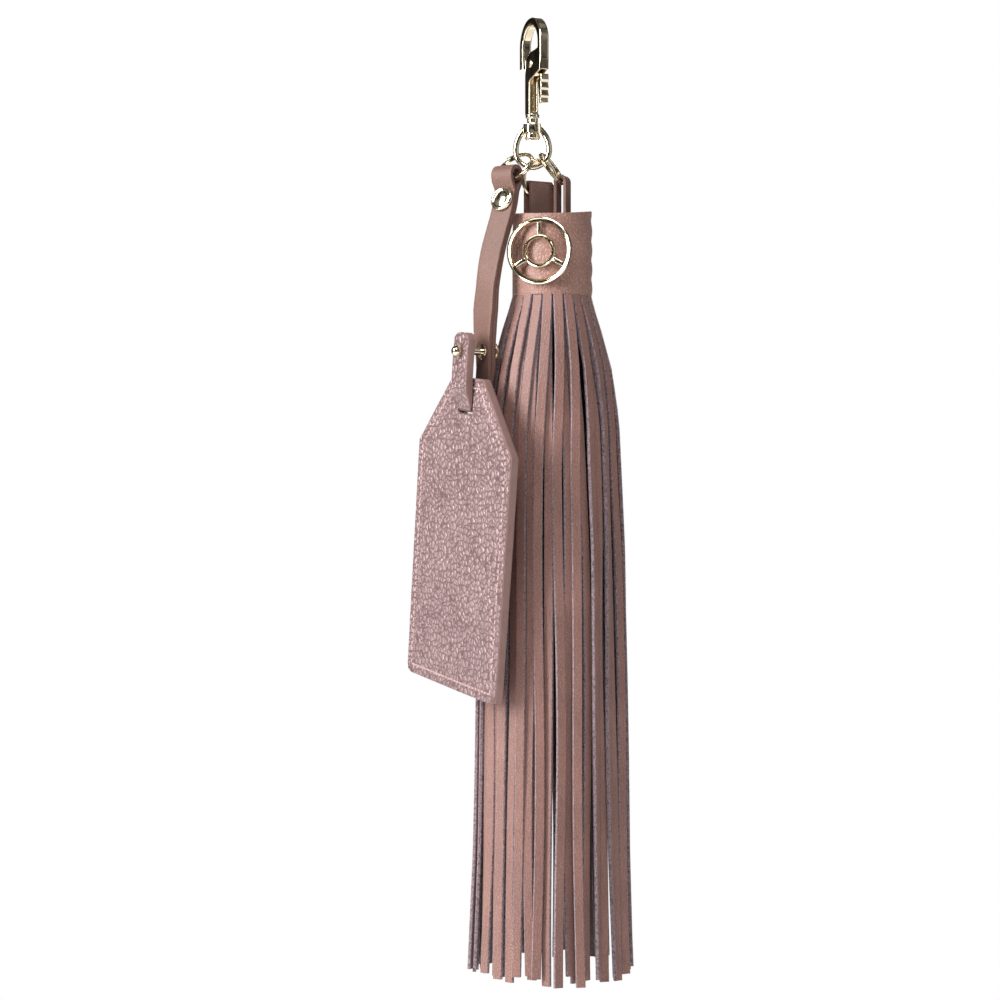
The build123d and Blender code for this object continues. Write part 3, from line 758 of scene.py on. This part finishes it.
half_gap = LEATHER / 2 + 0.06
way = [(at_tag(0, up, STRAP_OUT + half_gap), tag_across) for up in (-3.2, -1.5, 0.5)]
for (place, side), out in zip(reversed(middle), reversed(outs)):
    way.append((place + out * half_gap, side))
loop_side = level_dir(36)
loop_out = loop_side.cross(UP)
LOOP_MIDDLE = 2.0 + LEATHER / 2
way.append((STRAP_TOP + loop_out * LOOP_MIDDLE * LOOP_PINCH - UP * 1.6, loop_side))
for step in range(17):
    angle = pi * step / 16
    way.append((STRAP_TOP + (loop_out * cos(angle) + UP * sin(angle)) * LOOP_MIDDLE, loop_side))
way.append((STRAP_TOP - loop_out * LOOP_MIDDLE * LOOP_PINCH - UP * 1.6, loop_side))
for (place, side), out in zip(middle, outs):
    way.append((place - out * half_gap, side))
TAB_OUT, TAB_TOP, BEND_UP, BEND_BACK = 2.4, 13.5, -6.75, -3.2
bend_middle, bend_radius = (TAB_OUT + BEND_BACK) / 2, (TAB_OUT - BEND_BACK) / 2
for up, out in ((0.2, -4.85), (-2.5, -4.1), (-4.8, -3.45)):
    way.append((at_tag(0, up, out), tag_across))
for step in range(17):
    angle = pi + pi * step / 16
    up, out = BEND_UP + bend_radius * sin(angle), bend_middle + bend_radius * cos(angle)
    way.append((at_tag(0, up, out), tag_across))
for step in range(1, 17):
    up = BEND_UP + (TAB_TOP - BEND_UP) * step / 16
    way.append((at_tag(0, up, TAB_OUT + 0.25 * sin(pi * step / 16)), tag_across))

widths = []
for place, side in way:
    below_ornament = min(1.0, max(0.0, (SPREAD_FROM - place.z) / 6))
    above_slot = min(1.0, max(0.0, (place.z - SPREAD_TO) / 8))
    on_tab = (place - at_tag(0, 0, TAB_OUT)).dot(tag_normal) > -0.5 and place.z < -90
    spread_width = STRAP_WIDTH + STRAP_SPREAD * below_ornament * above_slot
    widths.append(TAB_WIDTH if on_tab else spread_width)
strap = ribbon("twisted_strap", way, widths, LEATHER, columns=6)
# the tab's end is rounded
for vertex in strap.data.vertices:
    offset = vertex.co / MM - at_tag(0, 0, TAB_OUT)
    across, up, out = offset.dot(tag_across), offset.dot(tag_up), offset.dot(tag_normal)
    if abs(out) < 1.5 and up > 9:
        limit = TAB_TOP - TAB_ROUNDING * (abs(across) / (TAB_WIDTH / 2)) ** 3
        if up > limit - 0.6:
            vertex.co -= tag_up * max(0, up - limit) * MM
# the second layer thickens the tab above the bend
SECOND_LAYER = 1.2
for vertex in strap.data.vertices:
    offset = vertex.co / MM - at_tag(0, 0, TAB_OUT)
    up, out = offset.dot(tag_up), offset.dot(tag_normal)
    if 0 < out < 1.5 and up > BEND_UP:
        rise = min(1.0, (up - BEND_UP) / 3)
        vertex.co += tag_normal * SECOND_LAYER * rise * MM
# the tab's front is tag leather, and the rest of it is painted
tab_faces = []
for face in strap.data.polygons:
    offset = face.center / MM - at_tag(0, 0, TAB_OUT)
    facing = face.normal.dot(tag_normal)
    if offset.dot(tag_up) > BEND_UP - 2.5 and offset.dot(tag_normal) > -0.7:
        tab_faces.append((face.index, 3 if facing > 0.5 else 4))
strap_materials = (strap_leather, cut_edge, suede, tag_leather, painted_edge)
finish(strap, "strap", "strap_leather", ["tag_strap"], *strap_materials, angle=45)
for number, material_index in tab_faces:
    strap.data.polygons[number].material_index = material_index

# %% [markdown]
# ## The tag's two leathers
# Each is one panel of leather, with a pressed groove for its seam and a soft, full middle. The solid model's
# panel gives the exact outline and slot. Straight cuts across it make a grid, so that the panel can be
# dished and gently bowed, as leather is that has hung for a while.

# %% Tag panels
TAG_WIDTH, TAG_LENGTH, TAG_PEAK_WIDTH, TAG_SHOULDER = 56.0, 93.0, 18.0, 21.0
TAG_FACE = 1.4
SEAM_INSET = 2.7


def edge_distance(across, up):
    """How far a point on the tag lies inside its outline, in millimetres."""
    half, peak = TAG_WIDTH / 2, TAG_PEAK_WIDTH / 2
    slope = Vector((TAG_SHOULDER, half - peak)).normalized()
    sides = (
        half - abs(across),
        up + TAG_LENGTH,
        -up,
        (Vector((peak, 0)) - Vector((abs(across), up))).dot(slope),
    )
    return min(sides)


def bow(across, up):
    """The tag's slow curve out of its plane."""
    return 0.5 * sin((across / TAG_WIDTH + 0.2) * pi) * max(0.0, -up / TAG_LENGTH) ** 1.5


def leather_panel(node, name, face_out, outward):
    """A panel from its CAD node. face_out is its outer face's distance out, outward is 1 or -1."""
    piece = whole_copy(node, name)
    for direction, first, last, count in ((tag_across, -27, 27, 28), (tag_up, -92, -1, 46)):
        for number in range(count):
            cut = first + (last - first) * number / (count - 1)
            bpy.ops.mesh.select_all(action="SELECT")
            bpy.ops.mesh.bisect(plane_co=(TAG_PEAK + direction * cut) * MM, plane_no=direction)
    bpy.ops.object.mode_set(mode="OBJECT")
    rounded(piece, 0.3, segments=3, sharp=50)
    for vertex in piece.data.vertices:
        offset = vertex.co / MM - TAG_PEAK
        across, up, out = offset.dot(tag_across), offset.dot(tag_up), offset.dot(tag_normal)
        inside = edge_distance(across, up)
        shift = bow(across, up)
        if abs(out - face_out) < 0.2:
            groove = max(0.0, 1 - abs(inside - SEAM_INSET) / 1.5)
            shift += outward * (0.16 * min(1, max(0, inside - SEAM_INSET) / 5) - 0.32 * groove**2)
        vertex.co += tag_normal * shift * MM
    return piece


for node, outward in (("tag_front", 1), ("tag_back", -1)):
    panel = leather_panel(node, node + "_leather", TAG_FACE * outward, outward)
    for face in panel.data.polygons:
        face.material_index = 1 if abs(face.normal.dot(tag_normal)) < 0.5 else 0
    sides = [face.material_index for face in panel.data.polygons]
    finish(panel, "tag", "tag_leather", [node], tag_leather, painted_edge)
    panel.data.polygons.foreach_set("material_index", sides)

# %% [markdown]
# Down both sides and round the top, edge paint closes the tag: a smooth band bridges the two leathers. The
# bottom stays open, where the board shows between them.

# %% Painted band
outline = [(-TAG_WIDTH / 2, -TAG_LENGTH + 0.6), (-TAG_WIDTH / 2, -TAG_SHOULDER)]
outline.append((-TAG_PEAK_WIDTH / 2, 0))
outline += [(-across, up) for across, up in reversed(outline)]
way = []
for (x0, y0), (x1, y1) in zip(outline, outline[1:]):
    for step in range(12):
        across, up = x0 + (x1 - x0) * step / 12, y0 + (y1 - y0) * step / 12
        way.append((at_tag(across, up, bow(across, up)), tag_normal))
way.append((at_tag(*outline[-1], bow(*outline[-1])), tag_normal))
edge_band = ribbon("tag_painted_edge", way, [2.35] * len(way), 0.3, columns=4)
finish(edge_band, "tag", "tag_leather", [], *[painted_edge] * 3)

# %% Stiffening board
stiffener = softened_copy("tag_stiffener", "tag_stiffening_board", 0.08)
for vertex in stiffener.data.vertices:
    offset = vertex.co / MM - TAG_PEAK
    vertex.co += tag_normal * bow(offset.dot(tag_across), offset.dot(tag_up)) * MM
finish(stiffener, "tag", "board", ["tag_stiffener"], board)

# %% [markdown]
# ## The seam
# A lock stitch runs inside the tag's edge, about five stitches to the centimetre. One stitch is modelled
# as a short rounded bar that dips at both ends, and copies of it follow the outline on both faces.

# %% Stitches
STITCH = 1.3
STITCH_GAP = 0.55
THREAD = 0.34
SUNK = 0.05
half, peak = TAG_WIDTH / 2 - SEAM_INSET, TAG_PEAK_WIDTH / 2 - SEAM_INSET * 0.42
foot, shoulder = -TAG_LENGTH + SEAM_INSET, -TAG_SHOULDER - 0.8
seam = [(-peak, -SEAM_INSET), (peak, -SEAM_INSET), (half, shoulder), (half, foot)]
seam += [(-half, foot), (-half, shoulder)]

bpy.ops.object.select_all(action="DESELECT")
bpy.ops.mesh.primitive_cylinder_add(
    vertices=8,
    radius=THREAD * MM,
    depth=STITCH * MM,
    rotation=(0, pi / 2, 0),
)
one_stitch = named("one_stitch")
settle(one_stitch)
edit(one_stitch)
for cut in (-0.4, 0.4):
    bpy.ops.mesh.select_all(action="SELECT")
    bpy.ops.mesh.bisect(plane_co=(cut * MM, 0, 0), plane_no=(1, 0, 0))
bpy.ops.object.mode_set(mode="OBJECT")
for vertex in one_stitch.data.vertices:
    if abs(vertex.co.x) > 0.6 * MM:
        vertex.co.z = vertex.co.z * 0.5 - 0.2 * MM
        vertex.co.y *= 0.6

stitches = []
for (x0, y0), (x1, y1) in zip(seam, seam[1:] + seam[:1]):
    run = Vector((x1 - x0, y1 - y0))
    count = round(run.length / (STITCH + STITCH_GAP))
    for number in range(count):
        spot = Vector((x0, y0)) + run * (number + 0.5) / count
        along = (tag_across * run.x + tag_up * run.y).normalized()
        for outward in (1, -1):
            copy = one_stitch.copy()
            copy.data = one_stitch.data.copy()
            bpy.context.scene.collection.objects.link(copy)
            lift = TAG_FACE - SUNK + bow(*spot) * outward
            copy.matrix_world = placed(along, tag_normal * outward, at_tag(*spot, lift * outward))
            stitches.append(copy)
# the copies' new places only count for the join after an update
bpy.context.view_layer.update()
join(stitches)
seam_thread = named("tag_seam_thread")
settle(seam_thread)
bpy.data.objects.remove(one_stitch)
finish(seam_thread, "tag", "tag_leather", [], thread)
print(len(stitches), "stitches")

# %% [markdown]
# ## The tassel's loops
# Two folded strips hang the tassel from its rings. Their grain side is outwards and their legs go down into
# the rolled core.

# %% Loops
LEG_END = -66


def folded_loop(name, node, middle, fold_z, turn, width, leather, gap=1.0):
    """A strip folded over a ring: up one leg, over, and down the other."""
    side = level_dir(turn)
    out = side.cross(UP)
    reach = gap + leather / 2
    centre = Vector((middle.x, middle.y, fold_z))
    leg = UP * (LEG_END - fold_z)
    way = [(centre + out * reach + leg * (1 - step / 10), side) for step in range(10)]
    for step in range(15):
        angle = pi * step / 14
        way.append((centre + (out * cos(angle) + UP * sin(angle)) * reach, side))
    way += [(centre - out * reach + leg * step / 10, side) for step in range(1, 11)]
    piece = ribbon(name, way, [width] * len(way), leather, columns=5)
    finish(piece, "tassel", "tassel_leather", [node], strap_leather, cut_edge, suede, angle=45)


FRONT_TURN = -28.9
front_middle = Vector((2.18, 0.40, 0)) - level_dir(FRONT_TURN) * 0.3
back_middle = Vector((8.93, 0.16, 0))
folded_loop("front_hanging_loop", "front_loop", front_middle, -48.5, FRONT_TURN, 8.0, 1.3)
folded_loop("back_hanging_loop", "back_loop", back_middle, -46.45, 110.6, 4.6, 1.0)

# %% [markdown]
# ## The rolled core
# Inside the cap, the uncut head of the fringe is rolled up tight. From above it shows as a spiral of leather
# edge, set a little below the cap's rim. A long strip follows the spiral.

# %% Core
CORE_TOP, CORE_OUTSIDE, CAP_END = -56.6, 9.7, -80.9
SPIRAL_PITCH, SPIRAL_TURNS = 1.42, 6.4
bpy.ops.object.select_all(action="DESELECT")
bpy.ops.mesh.primitive_grid_add(x_subdivisions=420, y_subdivisions=2, size=1)
core = named("rolled_core")
for vertex in core.data.vertices:
    angle = (vertex.co.x + 0.5) * 2 * pi * SPIRAL_TURNS
    radius = CORE_OUTSIDE - SPIRAL_PITCH * angle / (2 * pi)
    top = CORE_TOP + 0.25 * sin(angle * 1.7) - 0.3
    height = top if vertex.co.y > 0.4 else (CAP_END + 0.2 if vertex.co.y < -0.4 else top - 1.5)
    spread = Vector((cos(angle), sin(angle), 0)) * max(radius, 0.5)
    vertex.co = (TASSEL_AXIS + spread + UP * height) * MM
modify(core, "SOLIDIFY", thickness=1.2 * MM, offset=0.0, material_offset=2, material_offset_rim=1)
rounded(core, 0.15, segments=1, sharp=50, material=1)
finish(core, "tassel", "tassel_leather", ["core_roll"], strap_leather, cut_edge, suede, angle=50)

# %% [markdown]
# ## The cap
# A band of leather wraps the core and overlaps itself at the back right. Its rim isn't perfectly level, and
# the band has a few shallow creases at its right. A flat grid is wrapped round and shaped point by point.

# %% Cap
CAP_TOP = -55.4
SEAM_AT = 38.0
CAP_WRAP = 360 + 14.0
bpy.ops.object.select_all(action="DESELECT")
bpy.ops.mesh.primitive_grid_add(x_subdivisions=180, y_subdivisions=26, size=1)
cap = named("wrapped_cap")
for vertex in cap.data.vertices:
    wrapped = (vertex.co.x + 0.5) * CAP_WRAP
    angle = radians(SEAM_AT + wrapped)
    height = CAP_END + (CAP_TOP - CAP_END) * (vertex.co.y + 0.5)
    # the band's end climbs over its start
    past = max(0.0, min(1.0, (wrapped - 345) / 12))
    radius = CAP_OUTSIDE - 0.62 + past * past * (3 - 2 * past) * 1.05
    crease = sin(height * 1.1 + 2.5 * sin(angle * 2)) * max(0.0, cos(angle - radians(8))) ** 6
    radius += 0.18 * crease + 0.1 * sin(3 * angle + 1) - 0.22 * (vertex.co.y + 0.5) ** 6
    rim = (vertex.co.y + 0.5) ** 3
    height += rim * (1.1 * sin(angle + 0.4) + 0.25 * sin(2 * angle + 1) - 0.3)
    spread = Vector((cos(angle), sin(angle), 0)) * radius
    vertex.co = (TASSEL_AXIS + spread + UP * height) * MM
modify(cap, "SOLIDIFY", thickness=1.15 * MM, offset=0.0, material_offset=2, material_offset_rim=1)
rounded(cap, 0.16, segments=2, sharp=50, material=1)
finish(cap, "tassel", "tassel_leather", ["cap_wrap"], tassel_leather, cut_edge, suede, angle=50)

# %% [markdown]
# ## The fringe
# Sixty strips hang under the cap, in six bundles. One flat strip is modelled: a block with softened long
# edges, cut across so that it can bend, with grain on its face, suede on its back and cut edges. Every copy
# is then hung with its own drift, twist and length, because cut leather never hangs alike.

# %% One strip
STRIP_WIDTH = 2.8
STRIP_THICK = 1.1
STRIP_CUTS = 34
bpy.ops.object.select_all(action="DESELECT")
bpy.ops.mesh.primitive_cube_add(size=1)
strip = named("one_strip")
strip.scale = (STRIP_WIDTH * MM, STRIP_THICK * MM, 1)
settle(strip)
edit(strip, "EDGE", "DESELECT")
bpy.ops.object.mode_set(mode="OBJECT")
for edge in strip.data.edges:
    a, b = (strip.data.vertices[number].co for number in edge.vertices)
    edge.select = abs(a.z - b.z) > 0.5
bpy.ops.object.mode_set(mode="EDIT")
bpy.ops.mesh.bevel(offset=0.22 * MM, segments=1)
for number in range(1, STRIP_CUTS):
    bpy.ops.mesh.select_all(action="SELECT")
    bpy.ops.mesh.bisect(plane_co=(0, 0, number / STRIP_CUTS - 0.5), plane_no=(0, 0, 1))
bpy.ops.object.mode_set(mode="OBJECT")
# the strips' suede and cut edges are darkened with painted shade of the gaps between them
for material in (fringe_leather, strip_edge_with_painted_shade, strip_suede_in_painted_shade):
    strip.data.materials.append(material)
for face in strip.data.polygons:
    if face.normal.y < -0.9:
        face.material_index = 0
    elif face.normal.y > 0.9:
        face.material_index = 2
    else:
        face.material_index = 1
print("one strip:", triangles(strip), "triangles")

# %% [markdown]
# The fringe widens quickly under the cap, then hangs nearly straight and flares a little at its foot. Each
# bundle has strips from the roll's outer turn, its second turn and the ones inside. Lower down the second
# turn's strips show between the first's.

# %% Hang the strips
STRIP_TOP, FRINGE_END = -79.0, -283.6
FRINGE_SHAPE = (
    (11.3, -78.5),
    (11.9, -81.2),
    (15.0, -91.0),
    (18.2, -103.0),
    (20.3, -118.0),
    (22.0, -157.0),
    (22.8, -202.0),
    (23.6, -247.0),
    (24.9, FRINGE_END),
)
LAYERS = (
    # strips in a bundle, inset at the top, inset lower down, first slot and step round the bundle
    (4, 0.55, 0.6, 0.5, 2),
    (4, 2.0, 1.8, 1.5, 2),
    (2, 3.5, 3.2, 2.0, 4),
)
SLOTS = 8
SLOT_ANGLE = 7.3


def fringe_radius(z):
    """The fringe's outside radius at a height."""
    for (upper, top), (lower, bottom) in zip(FRINGE_SHAPE, FRINGE_SHAPE[1:]):
        if z >= bottom:
            t = min(1.0, (z - top) / (bottom - top))
            return upper + (lower - upper) * t
    return FRINGE_SHAPE[-1][0]


def hang(copy, top_angle, foot_angle, top_inset, inset, chance):
    """Set a strip's rows along its own way down."""
    length = chance.uniform(0.0, 3.6)
    twist = chance.gauss(0, 13)
    lean = chance.gauss(0, 4)
    waves = []
    for _ in range(2):
        # how wide the wave is in degrees, where it starts and how often it swings
        waves.append((chance.uniform(0.4, 1.1), chance.uniform(0, 2 * pi), chance.uniform(0.8, 1.9)))
    for vertex in copy.data.vertices:
        down = 0.5 - vertex.co.z
        z = STRIP_TOP + (FRINGE_END + length - STRIP_TOP) * down
        spread = min(1.0, down / 0.28)
        spread = spread * spread * (3 - 2 * spread)
        sway = sum(size * sin(phase + rate * 2 * pi * down) for size, phase, rate in waves) * spread
        angle = radians(top_angle + (foot_angle - top_angle) * spread + sway + lean * 0.12 * down)
        ripple = 0.25 * sin(waves[0][1] + 7 * down)
        radius = fringe_radius(z) - top_inset - (inset - top_inset) * spread + ripple
        out = Vector((cos(angle), sin(angle), 0))
        face = angle + radians(twist * spread * (0.4 + down))
        side = Vector((-sin(face), cos(face), 0))
        normal = Vector((cos(face), sin(face), 0))
        place = TASSEL_AXIS + out * radius
        place += side * (-vertex.co.x / MM) + normal * (-vertex.co.y / MM)
        vertex.co = (place + UP * z) * MM


chance = random.Random(11)
for bundle in range(6):
    body = "tassel" if bundle in (3, 4) else f"fringe_{bundle + 1}"
    copies = []
    for count, top_inset, inset, first, step in LAYERS:
        for number in range(count):
            copy = strip.copy()
            copy.data = strip.data.copy()
            bpy.context.scene.collection.objects.link(copy)
            slot = first + step * number - SLOTS / 2
            foot_angle = bundle * 60 + slot * SLOT_ANGLE
            top_angle = bundle * 60 + (number + 0.5 - count / 2) * 60 / count
            hang(copy, top_angle, foot_angle, top_inset, inset, chance)
            copies.append(copy)
    join(copies)
    fringe = named(f"fringe_strips_{bundle + 1}")
    smooth(fringe, 30)
    if body == "tassel":
        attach(fringe, "tassel")
    else:
        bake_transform(fringe)
    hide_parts(f"fringe_bundle_{bundle + 1}")
    print(fringe.name, triangles(fringe), "triangles")
bpy.data.objects.remove(strip)

# %% [markdown]
# ## Studio
# The camera sees plain white paper all round, and a pale floor lies well below. The room that lights the
# charm isn't that white: it is dim, with soft bright openings in dark walls, because metal only looks like
# metal when it has both light and dark to reflect. A tall soft box at the left is the key light, two weak
# ones fill, and one behind lights the back.

# %% Floor
FLOOR_RADIUS = 0.78
FLOOR_HEIGHT = -0.48


def pale_floor():
    """A pale paper floor that glows to white at its rim, so that it fades into the paper round it."""
    material, shader, place = new_material("pale paper floor", roughness=0.9)
    fibre = add(material, "ShaderNodeTexNoise", {"Scale": 8.0}, {"Vector": place}).outputs["Fac"]
    shade = blended(material, "#F4F4F4", "#FFFFFF", fibre)
    distance = add(material, "ShaderNodeVectorMath", links={0: place}, operation="LENGTH")
    away = distance.outputs["Value"]
    glow = stretched(material, away, FLOOR_RADIUS * 0.3, FLOOR_RADIUS, 0.35, 1.0, curve="SMOOTHSTEP")
    wire_up(material, shader, Base_Color=shade, Emission_Strength=glow)
    shader.inputs["Emission Color"].default_value = linear("#FFFFFF")
    return material


bpy.ops.object.select_all(action="DESELECT")
bpy.ops.mesh.primitive_circle_add(
    vertices=96,
    radius=FLOOR_RADIUS,
    fill_type="NGON",
    location=(0, 0, FLOOR_HEIGHT),
)
floor = named("studio_floor")
floor.data.materials.append(pale_floor())
print("floor at", floor.location.z, "m")

# %% Lights
CHARM_MIDDLE = Vector((0, 0, -0.15))


def soft_box(name, location, size, power):
    """A rectangular light that faces the charm, with sizes in metres and its power in watts."""
    light = bpy.data.lights.new(name, "AREA")
    light.shape = "RECTANGLE"
    light.size, light.size_y = size
    light.energy = power
    lamp = bpy.data.objects.new(name, light)
    bpy.context.scene.collection.objects.link(lamp)
    lamp.location = location
    lamp.rotation_euler = (CHARM_MIDDLE - Vector(location)).to_track_quat("-Z", "Y").to_euler()


soft_box("left_box", (-0.72, -0.4, 0.15), (0.26, 0.7), 11)
soft_box("right_box", (0.8, -0.3, 0.0), (0.2, 1.0), 0.8)
soft_box("front_top_box", (-0.1, -0.5, 0.45), (0.35, 0.25), 2.8)
soft_box("back_box", (0.1, 1.15, 0.05), (0.4, 0.9), 5)

world = bpy.data.worlds.new("studio")
bpy.context.scene.world = world
world.use_nodes = True
room = world.node_tree.nodes["Background"]
room.inputs["Strength"].default_value = 0.27
directions = add(world, "ShaderNodeTexCoord").outputs["Generated"]
walls = add(world, "ShaderNodeTexNoise", {"Scale": 2.6, "Detail": 1.0}, {"Vector": directions})
openings = add(world, "ShaderNodeValToRGB", links={"Fac": walls.outputs["Fac"]})
shades = ((0.42, "#2A2523"), (0.6, "#F6F3EE"))
for stop, (position, shade) in zip(openings.color_ramp.elements, shades):
    stop.position = position
    stop.color = linear(shade)
world.node_tree.links.new(openings.outputs["Color"], room.inputs["Color"])
paper = add(world, "ShaderNodeBackground", {"Color": linear("#FFFFFF")})
seen = add(world, "ShaderNodeLightPath").outputs["Is Camera Ray"]
backgrounds = {0: seen, 1: room.outputs["Background"], 2: paper.outputs["Background"]}
mix = add(world, "ShaderNodeMixShader", links=backgrounds)
sky = world.node_tree.nodes["World Output"]
world.node_tree.links.new(mix.outputs["Shader"], sky.inputs["Surface"])

# %% [markdown]
# ## Camera
# A long lens, level with the middle of the charm, as for a catalogue. It sees 300 mm of height at the charm.

# %% Camera
lens = bpy.data.cameras.new("camera")
lens.lens = 85
lens.sensor_width = 36
camera = bpy.data.objects.new("camera", lens)
bpy.context.scene.collection.objects.link(camera)
camera.location = (-0.00975, -0.708, -0.1418)
camera.rotation_euler = (pi / 2, 0, 0)
bpy.context.scene.camera = camera

# %% Finish
bpy.context.scene.view_settings.view_transform = "Standard"
